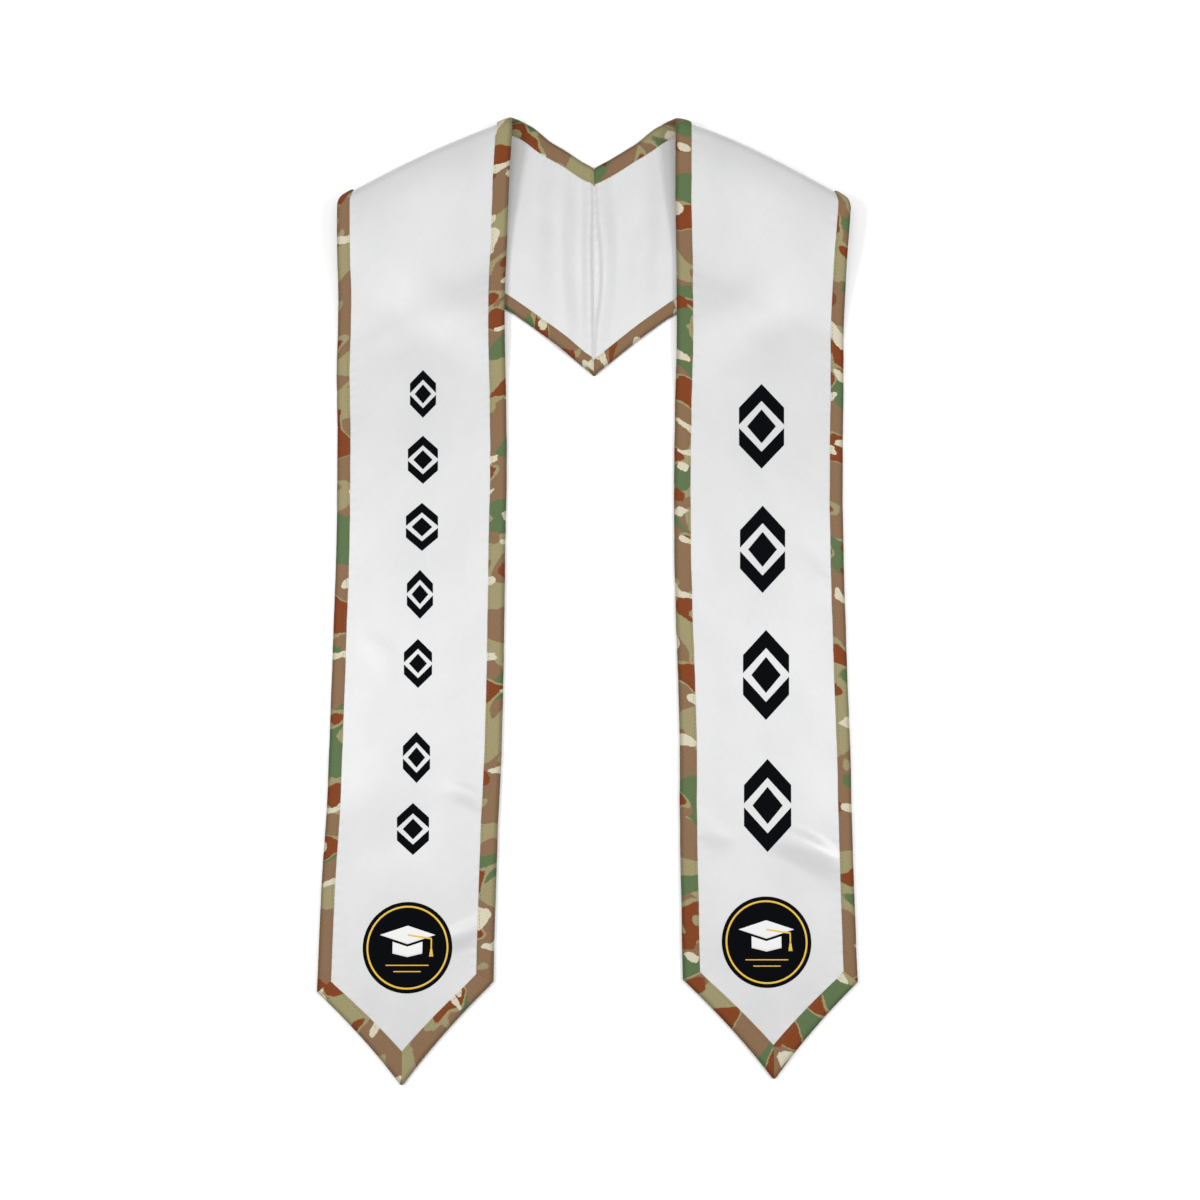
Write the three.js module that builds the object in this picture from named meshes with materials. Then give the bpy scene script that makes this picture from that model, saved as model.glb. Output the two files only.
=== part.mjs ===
import * as THREE from "three";

// A graduation stole laid flat with its front up. +Y points to the neck, +Z points up from the table.
// All sizes are in millimetres and all slopes in degrees.
const stripWidth = 136;
const clothThickness = 1.2;
const bindingWall = 1.0;
const clearance = 0.3;
const neckBindingWidth = 13.2;
const outerBindingWidth = 10.5;
const tipBindingWidth = 13.5;
const frontLength = 656;
const tipLength = 73;
const tipHollow = 3;
const shoulderReach = 133.6;
const rollRadius = 8.5;
const foldSlope = 26.3;
const neckSlope = 32.5;
const lowerSlope = 34.9;
const seamDrop = 5.2;
const dropTurn = 39;
const dropReach = 70;
const foldFlare = 1.055;
const fallLength = 105;
const stepMargin = 15;
const stepRun = 48;
const bulgeReach = 104;

// Soft upright waves beside the centre back seam. Places and reaches are shares of the strip width,
// heights are shares of the cloth thickness.
const backWaves = [
  { out: 0.052, reach: 0.045, height: 1.0 },
  { out: 0.19, reach: 0.09, height: 0.75 },
  { out: 0.35, reach: 0.08, height: 0.6 },
];

// Each side has its own small departures from a straight strip. Places along it are shares of the
// front length, and lifts, bulges, skews, drifts, widths and reaches are shares of the strip width.
// A positive drift leans away from the middle. A swell is a soft rise, in cloth thicknesses.
const sides = [
  {
    name: "left",
    direction: -1,
    frontShare: 1.007,
    lift: 0.0,
    bulge: 0.026,
    bulgePeak: 0.5,
    cornerSkew: 0.063,
    tipDrift: 0.009,
    course: [
      { along: 0.0, drift: 0.0, width: 1.055 },
      { along: 0.1, drift: 0.009, width: 1.024 },
      { along: 0.2, drift: 0.019, width: 1.01 },
      { along: 0.3, drift: 0.007, width: 1.004 },
      { along: 0.42, drift: -0.004, width: 1.0 },
      { along: 0.6, drift: 0.0, width: 1.002 },
      { along: 0.75, drift: 0.008, width: 0.998 },
      { along: 0.86, drift: 0.027, width: 0.995 },
      { along: 1.0, drift: 0.038, width: 0.995 },
    ],
    swells: [
      { along: 0.36, across: 0.3, reach: 0.51, height: 0.9 },
      { along: 0.55, across: 0.7, reach: 0.55, height: 0.8 },
      { along: 0.76, across: 0.78, reach: 0.44, height: 1.2 },
      { along: 0.87, across: 0.35, reach: 0.37, height: 0.75 },
    ],
  },
  {
    name: "right",
    direction: 1,
    frontShare: 1.0,
    lift: -0.009,
    bulge: 0.038,
    bulgePeak: 0.4,
    cornerSkew: 0.016,
    tipDrift: 0.012,
    course: [
      { along: 0.0, drift: 0.0, width: 1.055 },
      { along: 0.06, drift: -0.012, width: 1.035 },
      { along: 0.16, drift: -0.024, width: 1.008 },
      { along: 0.25, drift: -0.029, width: 0.998 },
      { along: 0.4, drift: -0.051, width: 0.998 },
      { along: 0.55, drift: -0.051, width: 0.997 },
      { along: 0.72, drift: -0.038, width: 0.987 },
      { along: 0.85, drift: -0.038, width: 0.987 },
      { along: 1.0, drift: -0.03, width: 0.988 },
    ],
    swells: [
      { along: 0.4, across: 0.65, reach: 0.55, height: 1.0 },
      { along: 0.6, across: 0.3, reach: 0.51, height: 0.8 },
      { along: 0.82, across: 0.75, reach: 0.44, height: 1.25 },
    ],
  },
];

// Stations along the strip, as shares of the back, the shoulder roll, the front and the tip.
const backRows = [0, 0.02, 0.04, 0.07, 0.1, 0.14, 0.18, 0.22, 0.27, 0.32, 0.5, 0.7, 0.87];
const rollSteps = 8;
const frontRows = [
  0, 0.015, 0.03, 0.045, 0.06, 0.08, 0.1, 0.125, 0.15, 0.175, 0.2, 0.225, 0.25, 0.275,
  0.31, 0.36, 0.41, 0.47, 0.53, 0.59, 0.65, 0.71, 0.77, 0.83, 0.89, 0.94, 0.975,
];
const tipRows = 5;
const innerColumns = 8;
const bendSteps = 3;

const halfStack = clothThickness / 2 + clearance + bindingWall;
const bendRadius = halfStack - bindingWall;
const slope = THREE.MathUtils.degToRad(foldSlope);
const foldAlong = new THREE.Vector2(Math.cos(slope), -Math.sin(slope));
const foldAcross = new THREE.Vector2(Math.sin(slope), Math.cos(slope));
const foldHalf = (stripWidth * foldFlare) / (2 * Math.cos(slope));
const rollTravel = ((Math.PI * rollRadius) / 2) * Math.tan(slope);
const foldBase = new THREE.Vector2(shoulderReach, 0);

// A point on the fold line. The share runs from the neck edge to the outer edge.
function foldPoint(share, travel) {
  const along = (share * 2 - 1) * foldHalf + travel;
  return foldBase.clone().addScaledVector(foldAlong, along);
}

const innerBackFold = foldPoint(0, -rollTravel);
const outerBackFold = foldPoint(1, -rollTravel);
const seamTop = innerBackFold.y - innerBackFold.x * Math.tan(THREE.MathUtils.degToRad(neckSlope));
const seamFoot = outerBackFold.y - outerBackFold.x * Math.tan(THREE.MathUtils.degToRad(lowerSlope));

// The lower edge of the back, used to know where the front panel lies on top of the back.
const lowerStart = new THREE.Vector2(0, seamFoot);
const lowerDirection = outerBackFold.clone().sub(lowerStart).normalize();
const lowerUp = new THREE.Vector2(-lowerDirection.y, lowerDirection.x);

// A smooth curve through the rows of a table.
function readCourse(rows, column, along) {
  const last = rows.length - 1;
  let index = 0;
  while (index < last - 1 && along > rows[index + 1].along) {
    index += 1;
  }
  const from = rows[index];
  const to = rows[index + 1];
  const before = rows[Math.max(index - 1, 0)];
  const after = rows[Math.min(index + 2, last)];
  const span = to.along - from.along;
  const share = THREE.MathUtils.clamp((along - from.along) / span, 0, 1);
  const startSlope = (to[column] - before[column]) / (to.along - before.along);
  const endSlope = (after[column] - from[column]) / (after.along - from.along);
  const square = share * share;
  const cube = square * share;
  const startPart = (2 * cube - 3 * square + 1) * from[column];
  const endPart = (3 * square - 2 * cube) * to[column];
  const startPull = (cube - 2 * square + share) * span * startSlope;
  const endPull = (cube - square) * span * endSlope;
  return startPart + endPart + startPull + endPull;
}

function softRise(distance, reach) {
  const share = Math.min(Math.abs(distance) / reach, 1);
  return 0.5 * (1 + Math.cos(Math.PI * share));
}

function softStep(value) {
  const share = THREE.MathUtils.clamp(value, 0, 1);
  return share * share * (3 - 2 * share);
}

// How far the shoulder fold bows out between the neck edge and the outer edge.
function foldBulge(side, share) {
  const power = Math.log(0.5) / Math.log(side.bulgePeak);
  const place = Math.pow(THREE.MathUtils.clamp(share, 0, 1), power);
  return stripWidth * (side.lift + side.bulge * Math.sin(Math.PI * place));
}

function backPoint(side, share, along) {
  const start = new THREE.Vector2(clearance / 2, THREE.MathUtils.lerp(seamTop, seamFoot, share));
  const end = foldPoint(share, -rollTravel);
  const flat = start.lerp(end, along);
  flat.addScaledVector(foldAcross, foldBulge(side, share) * along * along);
  // The lower edge hangs at the centre back seam, and rises past the point where the hang turns.
  const hang = seamDrop * Math.pow(Math.max(share, 0), 1.5) * (1 - flat.x / dropTurn);
  flat.y -= hang * Math.exp(-((flat.x / dropReach) ** 2));
  let height = halfStack;
  for (const wave of backWaves) {
    const rise = softRise(flat.x - wave.out * stripWidth, wave.reach * stripWidth);
    height += wave.height * clothThickness * rise;
  }
  return new THREE.Vector3(flat.x, flat.y, height);
}

function rollPoint(side, share, along) {
  const turn = along * Math.PI;
  const flat = foldPoint(share, rollTravel * (2 * along - 1));
  flat.addScaledVector(foldAcross, rollRadius * Math.sin(turn) + foldBulge(side, share));
  return new THREE.Vector3(flat.x, flat.y, halfStack + rollRadius * (1 - Math.cos(turn)));
}

// The front drops from the top of the roll onto the back, then from the back onto the table.
function frontHeight(flat) {
  const belowFold = Math.max(-flat.clone().sub(foldBase).dot(foldAcross), 0);
  const aboveEdge = flat.clone().sub(lowerStart).dot(lowerUp);
  const onBack = softStep((aboveEdge + stepMargin + stepRun) / stepRun);
  const rest = (2 * halfStack + clearance) * onBack;
  return halfStack + THREE.MathUtils.lerp(rest, 2 * rollRadius, softRise(belowFold, fallLength));
}

function frontPoint(side, share, along) {
  const length = frontLength * side.frontShare;
  const start = foldPoint(share, rollTravel);
  const middle = foldPoint(0.5, rollTravel);
  const endY = middle.y - length - side.cornerSkew * stripWidth * (share - 0.5);
  const drift = readCourse(side.course, "drift", along) * stripWidth;
  const firstWidth = side.course[0].width;
  const width = (readCourse(side.course, "width", along) / firstWidth) * foldFlare * stripWidth;
  const flat = new THREE.Vector2(
    middle.x + drift + (share - 0.5) * width,
    THREE.MathUtils.lerp(start.y, endY, along),
  );
  let height = frontHeight(flat);
  for (const swell of side.swells) {
    const farX = (share - swell.across) * stripWidth;
    const farY = (along - swell.along) * length;
    const rise = softRise(Math.hypot(farX, farY), swell.reach * stripWidth);
    height += swell.height * clothThickness * rise;
  }
  const fade = 1 - softStep((along * length) / bulgeReach);
  flat.addScaledVector(foldAcross, foldBulge(side, share) * fade);
  return new THREE.Vector3(flat.x, flat.y, height);
}

// The middle of the strip's thickness. The station runs 0 to 1 on the back, to 2 round the
// shoulder roll and to 3 down the front. The share runs from the neck edge to the outer edge.
function middlePoint(side, share, station) {
  if (station <= 1) {
    return backPoint(side, share, station);
  }
  if (station <= 2) {
    return rollPoint(side, share, station - 1);
  }
  return frontPoint(side, share, station - 2);
}

const nudge = 0.001;

function stationTangent(side, share, station) {
  const ahead = middlePoint(side, share, Math.min(station + nudge, 3));
  const behind = middlePoint(side, share, Math.max(station - nudge, 0));
  return ahead.sub(behind).normalize();
}

function rowTangent(side, share, station) {
  const ahead = middlePoint(side, share + nudge, station);
  const behind = middlePoint(side, share - nudge, station);
  return ahead.sub(behind).normalize();
}

function surfaceNormal(side, share, station) {
  return rowTangent(side, share, station).cross(stationTangent(side, share, station)).normalize();
}

// Turns a distance square to an edge into a share of the slanted row at one station.
function insetShare(side, station, edge, inset) {
  const edgeShare = edge === "neck" ? 0 : 1;
  const row = rowTangent(side, edgeShare, station);
  const run = stationTangent(side, edgeShare, station);
  const stretch = 1 / row.cross(run).length();
  const start = middlePoint(side, 0, station);
  const rowLength = middlePoint(side, 1, station).distanceTo(start);
  const share = (inset * stretch) / rowLength;
  return edge === "neck" ? share : 1 - share;
}

// The pointed end lies flat. Its outline runs from the two side corners to the tip.
function tipPlan(side) {
  const neckCorner = middlePoint(side, 0, 3);
  const outerCorner = middlePoint(side, 1, 3);
  const middle = neckCorner.clone().lerp(outerCorner, 0.5);
  const tip = new THREE.Vector2(middle.x + side.tipDrift * stripWidth, middle.y - tipLength);
  return {
    middle: new THREE.Vector2(middle.x, middle.y),
    tip,
    neck: cornerPlan(side, 0, neckCorner, tip, 1),
    outer: cornerPlan(side, 1, outerCorner, tip, -1),
  };
}

function cornerPlan(side, share, corner, tip, turn) {
  const run = stationTangent(side, share, 3);
  const sideRun = new THREE.Vector2(run.x, run.y).normalize();
  const point = new THREE.Vector2(corner.x, corner.y);
  const tipRun = tip.clone().sub(point).normalize();
  return {
    point,
    sideRun,
    tipRun,
    sideInward: new THREE.Vector2(-sideRun.y * turn, sideRun.x * turn),
    tipInward: new THREE.Vector2(-tipRun.y * turn, tipRun.x * turn),
  };
}

// The point that is one inset away from a first edge and another inset away from a second edge.
function mitrePoint(corner, firstInward, secondInward, firstInset, secondInset) {
  const spread = firstInward.x * secondInward.y - firstInward.y * secondInward.x;
  const x = (firstInset * secondInward.y - firstInward.y * secondInset) / spread;
  const y = (firstInward.x * secondInset - firstInset * secondInward.x) / spread;
  return new THREE.Vector2(corner.x + x, corner.y + y);
}

// The sloping edges of the pointed end are drawn in a little towards the tip.
function hollowTip(plan, flat) {
  const depth = (plan.middle.y - flat.y) / (plan.middle.y - plan.tip.y);
  const share = THREE.MathUtils.clamp(depth, 0, 1);
  const centre = THREE.MathUtils.lerp(plan.middle.x, plan.tip.x, share);
  const narrowing = 1 - (8 * tipHollow * share) / stripWidth;
  return new THREE.Vector3(centre + (flat.x - centre) * narrowing, flat.y, halfStack);
}

// Moves the corners of a subdivided box onto a shape and keeps its faces looking outwards.
function bendBox(columns, rows, place) {
  const geometry = new THREE.BoxGeometry(columns, 1, rows, columns, 1, rows);
  const position = geometry.attributes.position;
  for (let index = 0; index < position.count; index += 1) {
    const column = Math.round(position.getX(index) + columns / 2);
    const row = Math.round(position.getZ(index) + rows / 2);
    const upper = position.getY(index) > 0;
    const point = place(column, row, upper);
    position.setXYZ(index, point.x, point.y, point.z);
  }
  if (signedVolume(geometry) < 0) {
    const order = geometry.index;
    for (let start = 0; start < order.count; start += 3) {
      const kept = order.getX(start);
      order.setX(start, order.getX(start + 2));
      order.setX(start + 2, kept);
    }
  }
  geometry.computeVertexNormals();
  return geometry;
}

function signedVolume(geometry) {
  const position = geometry.attributes.position;
  const order = geometry.index;
  const corners = [new THREE.Vector3(), new THREE.Vector3(), new THREE.Vector3()];
  let volume = 0;
  for (let start = 0; start < order.count; start += 3) {
    corners.forEach((corner, offset) => {
      corner.fromBufferAttribute(position, order.getX(start + offset));
    });
    volume += corners[0].dot(corners[1].cross(corners[2])) / 6;
  }
  return volume;
}

const sideStations = [
  ...backRows,
  ...Array.from({ length: rollSteps }, (unused, step) => 1 + step / rollSteps),
  ...frontRows.map((share) => 2 + share),
];

function placeAt(side, share, station, height) {
  const point = middlePoint(side, share, station);
  point.addScaledVector(surfaceNormal(side, share, station), height);
  point.x *= side.direction;
  return point;
}

function placeFlat(side, plan, flat, height) {
  const point = hollowTip(plan, flat);
  point.z += height;
  point.x *= side.direction;
  return point;
}

function stripGeometry(side, plan) {
  const columns = innerColumns + 2;
  const sideRows = sideStations.length;
  const cornerRow = sideRows;
  const rows = sideRows + tipRows;
  const neckStart = mitrePoint(
    plan.neck.point, plan.neck.sideInward, plan.neck.tipInward, halfStack, halfStack,
  );
  const outerStart = mitrePoint(
    plan.outer.point, plan.outer.sideInward, plan.outer.tipInward, halfStack, halfStack,
  );
  const apex = mitrePoint(
    plan.tip, plan.neck.tipInward, plan.outer.tipInward, halfStack, halfStack,
  );
  const neckEnd = apex.clone().add(neckStart.clone().sub(apex).setLength(2 * clothThickness));
  const outerEnd = apex.clone().add(outerStart.clone().sub(apex).setLength(2 * clothThickness));
  const shares = sideStations.map((station) => {
    const neckRim = insetShare(side, station, "neck", halfStack);
    const neckLine = insetShare(side, station, "neck", neckBindingWidth);
    const outerLine = insetShare(side, station, "outer", outerBindingWidth);
    const outerRim = insetShare(side, station, "outer", halfStack);
    const inner = Array.from({ length: innerColumns + 1 }, (unused, step) => {
      return THREE.MathUtils.lerp(neckLine, outerLine, step / innerColumns);
    });
    return [neckRim, ...inner, outerRim];
  });
  const lastShares = shares[shares.length - 1];
  return bendBox(columns, rows, (column, row, upper) => {
    const height = (upper ? 1 : -1) * (clothThickness / 2);
    if (row < cornerRow) {
      return placeAt(side, shares[row][column], sideStations[row], -height);
    }
    const firstShare = lastShares[0];
    const across = (lastShares[column] - firstShare) / (lastShares[columns] - firstShare);
    const start = neckStart.clone().lerp(outerStart, across);
    const end = neckEnd.clone().lerp(outerEnd, across);
    return placeFlat(side, plan, start.lerp(end, (row - cornerRow) / tipRows), height);
  });
}

// The folded tape in section: two legs joined by a round bend over the cloth edge.
function tapeProfile(width, column, outside) {
  const reach = outside ? halfStack : bendRadius;
  if (column === 0) {
    return { inset: width, height: reach };
  }
  if (column === bendSteps + 2) {
    return { inset: width, height: -reach };
  }
  const turn = (Math.PI * (column - 1)) / bendSteps;
  return { inset: halfStack - reach * Math.sin(turn), height: reach * Math.cos(turn) };
}

function sideBindingGeometry(side, plan, edge) {
  const corner = plan[edge];
  const edgeShare = edge === "neck" ? 0 : 1;
  const width = edge === "neck" ? neckBindingWidth : outerBindingWidth;
  const inside = mitrePoint(
    corner.point, corner.sideInward, corner.tipInward, width, tipBindingWidth,
  );
  const onRow = middlePoint(side, insetShare(side, 3, edge, width), 3);
  const setBack = new THREE.Vector2(onRow.x, onRow.y).sub(inside).dot(corner.sideRun) / width;
  const last = middlePoint(side, edgeShare, 3);
  const nearLast = middlePoint(side, edgeShare, 3 - nudge);
  const edgeLength = last.distanceTo(nearLast) / nudge;
  const rows = sideStations.length;
  return bendBox(bendSteps + 2, rows, (column, row, upper) => {
    const part = tapeProfile(width, column, upper);
    let station = sideStations[row];
    if (row === rows) {
      station = 3 - (setBack * part.inset + clearance / 2) / edgeLength;
    }
    const share = insetShare(side, station, edge, part.inset);
    return placeAt(side, share, station, -part.height);
  });
}

function tipBindingGeometry(side, plan, edge) {
  const corner = plan[edge];
  const other = edge === "neck" ? plan.outer : plan.neck;
  const sideWidth = edge === "neck" ? neckBindingWidth : outerBindingWidth;
  const gap = corner.tipRun.clone().multiplyScalar(clearance / 2);
  const cornerInside = mitrePoint(
    corner.point, corner.sideInward, corner.tipInward, sideWidth, tipBindingWidth,
  );
  const rows = tipRows + 2;
  return bendBox(bendSteps + 2, rows, (column, row, upper) => {
    const part = tapeProfile(tipBindingWidth, column, upper);
    const share = part.inset / tipBindingWidth;
    const start = corner.point.clone().lerp(cornerInside, share).add(gap);
    const end = mitrePoint(plan.tip, corner.tipInward, other.tipInward, part.inset, part.inset);
    end.sub(gap);
    return placeFlat(side, plan, start.lerp(end, row / rows), part.height);
  });
}

function satin() {
  return new THREE.MeshStandardMaterial({ color: 0xe6e8e9, roughness: 0.5, metalness: 0 });
}

function patternedTape() {
  return new THREE.MeshStandardMaterial({ color: 0x8b7552, roughness: 0.6, metalness: 0 });
}

const stole = new THREE.Group();
stole.name = "graduation_stole";
const laid = new THREE.Group();
laid.name = "laid_flat";
stole.add(laid);

function addPiece(name, geometry, material) {
  const mesh = new THREE.Mesh(geometry, material);
  mesh.name = name;
  laid.add(mesh);
}

for (const side of sides) {
  const plan = tipPlan(side);
  addPiece(side.name + "_strip", stripGeometry(side, plan), satin());
  addPiece(side.name + "_neck_binding", sideBindingGeometry(side, plan, "neck"), patternedTape());
  addPiece(side.name + "_outer_binding", sideBindingGeometry(side, plan, "outer"), patternedTape());
  addPiece(
    side.name + "_inner_tip_binding", tipBindingGeometry(side, plan, "neck"), patternedTape(),
  );
  addPiece(
    side.name + "_outer_tip_binding", tipBindingGeometry(side, plan, "outer"), patternedTape(),
  );
}

// The origin is the middle of the underside.
const bounds = new THREE.Box3().setFromObject(laid);
const middleOfBox = bounds.getCenter(new THREE.Vector3());
laid.position.set(-middleOfBox.x, -middleOfBox.y, -bounds.min.z);

export default stole;
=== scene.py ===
import math

import bmesh
import bpy
from mathutils import Matrix, Vector, noise


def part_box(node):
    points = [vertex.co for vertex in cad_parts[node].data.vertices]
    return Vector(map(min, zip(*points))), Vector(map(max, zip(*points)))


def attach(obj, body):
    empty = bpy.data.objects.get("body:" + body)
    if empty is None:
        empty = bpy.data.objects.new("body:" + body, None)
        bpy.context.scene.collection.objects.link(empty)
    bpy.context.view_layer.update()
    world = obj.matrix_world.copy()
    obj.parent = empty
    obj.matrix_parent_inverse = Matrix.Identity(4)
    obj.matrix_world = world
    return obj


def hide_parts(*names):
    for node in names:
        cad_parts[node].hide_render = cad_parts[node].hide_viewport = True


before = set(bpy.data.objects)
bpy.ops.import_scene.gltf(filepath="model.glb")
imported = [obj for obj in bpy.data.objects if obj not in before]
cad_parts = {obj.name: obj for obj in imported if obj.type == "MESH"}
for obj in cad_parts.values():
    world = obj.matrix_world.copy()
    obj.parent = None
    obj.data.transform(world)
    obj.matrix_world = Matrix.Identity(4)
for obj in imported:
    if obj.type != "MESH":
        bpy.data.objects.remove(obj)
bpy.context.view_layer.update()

# A graduation stole laid flat with its front up. Metres, +Y to the neck, +Z up from the table.
print("frame loaded")

cloth = {
    "width": 0.136,
    "half": 0.0006,
    "frontLength": 0.656,
    "tipLength": 0.0740,
    "tipHollow": 0.003,
    "bluntTip": 0.0026,
    "shoulderReach": 0.1336,
    "flare": 1.055,
    "rollPlan": 0.0085,
    "rollRadius": 0.009,
    "fallLength": 0.105,
    "stepMargin": 0.015,
    "stepRun": 0.048,
    "bulgeReach": 0.104,
    "edgePull": 0.0024,
    "seamGap": 0.00005,
    "seamDrop": 0.0052,
    "dropTurn": 0.039,
    "dropReach": 0.070,
    "neckHump": 0.0044,
    "humpPlace": 0.003,
    "humpReach": 0.020,
    "swellHeight": 0.0012,
    "layerGap": 0.0022,
    "settleRun": 0.09,
}
tape = {
    "wall": 0.00055,
    "gap": 0.0001,
    "neckWidth": 0.0132,
    "outerWidth": 0.0105,
    "tipWidth": 0.0135,
    "tipSpread": 0.3,
    "rollPuff": 0.7,
    "ripple": 0.00013,
    "rippleLength": 0.0065,
    "mitreGap": 0.00006,
    "rimRound": 0.00014,
    "endStop": 0.026,
    "bendSteps": 6,
    "tipSteps": 48,
}
halfStack = cloth["half"] + tape["gap"] + tape["wall"]
lying = halfStack + 0.0004
width = cloth["width"]

slope = math.radians(26.3)
neckSlope = math.radians(32.5)
lowerSlope = math.radians(34.9)
foldAlong = Vector((math.cos(slope), -math.sin(slope)))
foldAcross = Vector((math.sin(slope), math.cos(slope)))
foldHalf = width * cloth["flare"] / (2 * math.cos(slope))
foldBase = Vector((cloth["shoulderReach"], 0.0))
rollTravel = math.pi * cloth["rollPlan"] / 2 * math.tan(slope)

# How each side lies. Shares of the front length along it, shares of the width across it.
leftSide = {
    "name": "left",
    "direction": -1,
    "frontShare": 1.007,
    "lift": 0.0,
    "bulge": 0.026,
    "bulgePeak": 0.5,
    "cornerSkew": 0.063,
    "tipDrift": 0.009,
    "seed": 3.0,
    "course": [
        (0.0, 0.0, 1.055),
        (0.1, 0.009, 1.024),
        (0.2, 0.019, 1.01),
        (0.3, 0.007, 1.004),
        (0.42, -0.004, 1.0),
        (0.6, 0.0, 1.002),
        (0.75, 0.008, 0.998),
        (0.86, 0.027, 0.995),
        (1.0, 0.038, 0.995),
    ],
    "swells": [
        (0.36, 0.3, 0.51, 0.9),
        (0.55, 0.7, 0.55, 0.8),
        (0.76, 0.78, 0.44, 1.2),
        (0.87, 0.35, 0.37, 0.75),
    ],
    "backRidges": [
        (0.0040, 0.0038, 0.0078, 0.0027, 0.0),
        (0.0270, 0.0155, 0.0210, 0.0038, 0.002),
    ],
}
rightSide = {
    "name": "right",
    "direction": 1,
    "frontShare": 1.0,
    "lift": -0.009,
    "bulge": 0.038,
    "bulgePeak": 0.4,
    "cornerSkew": 0.016,
    "tipDrift": 0.012,
    "seed": 11.0,
    "course": [
        (0.0, 0.0, 1.055),
        (0.06, -0.012, 1.035),
        (0.16, -0.024, 1.008),
        (0.25, -0.029, 0.998),
        (0.4, -0.051, 0.998),
        (0.55, -0.051, 0.997),
        (0.72, -0.038, 0.987),
        (0.85, -0.038, 0.987),
        (1.0, -0.03, 0.988),
    ],
    "swells": [
        (0.4, 0.65, 0.55, 1.0),
        (0.6, 0.3, 0.51, 0.8),
        (0.82, 0.75, 0.44, 1.25),
    ],
    "backRidges": [
        (0.0040, 0.0052, 0.0125, 0.0031, 0.0046),
        (0.0380, 0.0190, 0.0170, 0.0020, 0.003),
    ],
}
sides = [leftSide, rightSide]


def clamp(value, low, high):
    return max(low, min(high, value))


def mix(first, second, share):
    return first + (second - first) * share


def softRise(distance, reach):
    return 0.5 * (1 + math.cos(math.pi * min(abs(distance) / reach, 1)))


def softStep(value):
    share = clamp(value, 0, 1)
    return share * share * (3 - 2 * share)


def wander(place, reach, seed):
    return noise.noise(Vector((place / reach, seed, seed * 0.37)))


# A point on the shoulder fold. The share runs from the neck edge to the outer edge.
def foldPoint(share, travel):
    return foldBase + foldAlong * ((share * 2 - 1) * foldHalf + travel)


innerBackFold = foldPoint(0, -rollTravel)
outerBackFold = foldPoint(1, -rollTravel)
seamTop = innerBackFold.y - innerBackFold.x * math.tan(neckSlope)
seamFoot = outerBackFold.y - outerBackFold.x * math.tan(lowerSlope)
lowerStart = Vector((0.0, seamFoot))
lowerRun = (outerBackFold - lowerStart).normalized()
lowerUp = Vector((-lowerRun.y, lowerRun.x))
backLength = (foldPoint(0.5, -rollTravel) - Vector((0.0, (seamTop + seamFoot) / 2))).length


# A smooth curve through one column of a side's course.
def readCourse(rows, column, along):
    last = len(rows) - 1
    index = 0
    while index < last - 1 and along > rows[index + 1][0]:
        index += 1
    start, end = rows[index], rows[index + 1]
    before, after = rows[max(index - 1, 0)], rows[min(index + 2, last)]
    span = end[0] - start[0]
    share = clamp((along - start[0]) / span, 0, 1)
    startSlope = (end[column] - before[column]) / (end[0] - before[0])
    endSlope = (after[column] - start[column]) / (after[0] - start[0])
    square = share * share
    cube = square * share
    value = (2 * cube - 3 * square + 1) * start[column]
    value += (3 * square - 2 * cube) * end[column]
    value += (cube - 2 * square + share) * span * startSlope
    value += (cube - square) * span * endSlope
    return value


def foldBulge(side, share):
    power = math.log(0.5) / math.log(side["bulgePeak"])
    place = clamp(share, 0, 1) ** power
    return width * (side["lift"] + side["bulge"] * math.sin(math.pi * place))


gathers = {
    "onCloth": 0.0055,
    "onTape": 0.0035,
    "height": 0.00014,
    "pitch": 0.0082,
    "pitchSway": 0.004,
}


# Small gathers beside a sewn tape edge. The distance is measured from the tape's inner edge.
def pucker(distance, place, seed):
    reach = gathers["onCloth"] if distance > 0 else gathers["onTape"]
    if abs(distance) > 3 * reach:
        return 0.0
    strength = 0.4 + 0.6 * abs(wander(place, 0.045, seed))
    stretched = place + gathers["pitchSway"] * wander(place, 0.012, seed + 5)
    ripple = math.sin(2 * math.pi * stretched / gathers["pitch"])
    return gathers["height"] * strength * (1 + ripple) * math.exp(-(distance / reach) ** 2)


# Reach sideways, reach along, height and seed shift of the long and the short waves.
longWave = (0.085, 0.11, 0.0011, 0)
shortWave = (0.034, 0.046, 0.00036, 7)


# Slow waves of a cloth that rests on the table.
def slowWaves(side, flat):
    total = 0.0
    for across, along, height, shift in (longWave, shortWave):
        value = noise.noise(Vector((flat.x / across, flat.y / along, side["seed"] + shift)))
        total += height * (0.5 + 0.5 * value)
    return total


# Soft creases on the front: start and end as pixels of the photograph, then in metres the reach
# above, the reach below, the height and the bow.
creases = {
    "left": [
        ((452, 786), (488, 806), 0.008, 0.014, 0.0014, 0.002),
        ((438, 940), (484, 920), 0.009, 0.014, 0.0014, -0.002),
        ((368, 640), (396, 672), 0.013, 0.018, 0.0008, 0.003),
        ((352, 330), (486, 296), 0.036, 0.028, 0.0009, -0.005),
        ((352, 1010), (392, 1034), 0.010, 0.012, 0.0009, 0.0),
    ],
    "right": [
        ((772, 832), (838, 866), 0.013, 0.020, 0.0024, 0.003),
        ((698, 818), (728, 840), 0.010, 0.016, 0.0012, -0.002),
        ((728, 1010), (764, 1032), 0.008, 0.012, 0.0012, 0.002),
        ((690, 326), (816, 300), 0.034, 0.026, 0.0006, 0.005),
        ((800, 560), (826, 602), 0.014, 0.020, 0.0008, 0.003),
    ],
}
photoView = {
    "size": 1200,
    "middle": 600,
    "focal": 1600,
    "elevation": math.radians(80.5),
    "distance": 1.28,
    "aim": Vector((0.0055, -0.016, 0.0)),
}
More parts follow.
